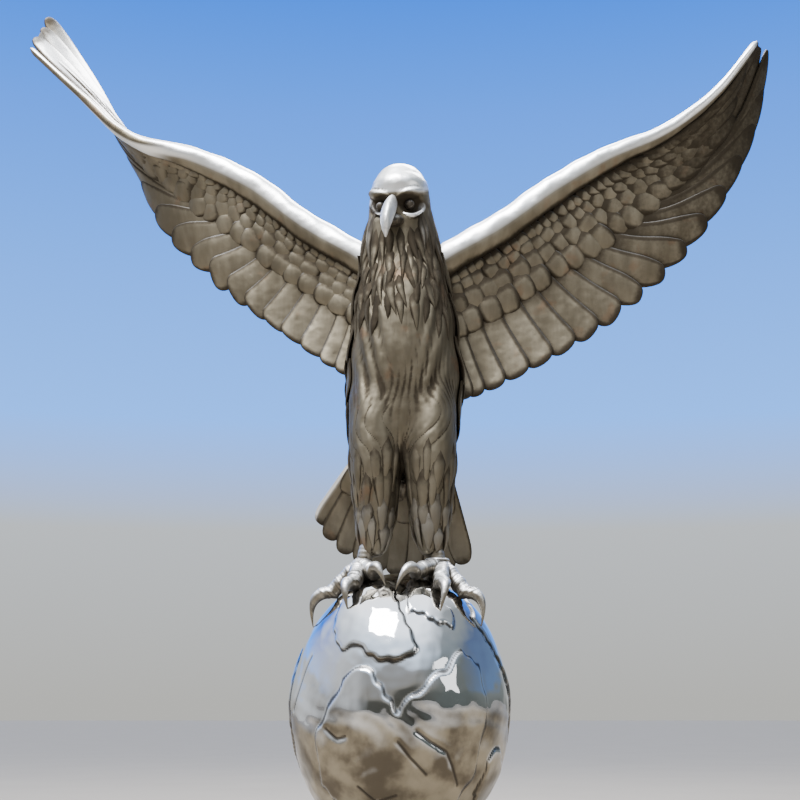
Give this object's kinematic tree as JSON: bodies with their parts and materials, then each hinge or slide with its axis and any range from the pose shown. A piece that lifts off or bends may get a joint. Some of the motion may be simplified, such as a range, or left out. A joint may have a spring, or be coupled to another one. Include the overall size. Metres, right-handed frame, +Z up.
{
  "type": "eagle sculpture on a globe",
  "caption": "Stainless-steel eagle with raised wings, standing on a polished globe that sits in a low round base.",
  "frame": {"origin": "centre of the base's underside, on the globe's vertical axis", "axes": "+Z up the globe's axis towards the bird's head; the bird faces -Y, and its left wing is on +X"},
  "size_m": [3.4709, 1.0414, 3.9037],
  "materials": {
    "eagle_steel": "satin, hand-hammered stainless steel, darker in its crevices",
    "mirror_steel": "mirror-polished stainless steel, slightly dented",
    "base_steel": "satin stainless steel"
  },
  "bodies": {
    "root": {"eagle": "eagle_steel", "globe": "mirror_steel", "base": "base_steel"}
  },
  "joints": []
}
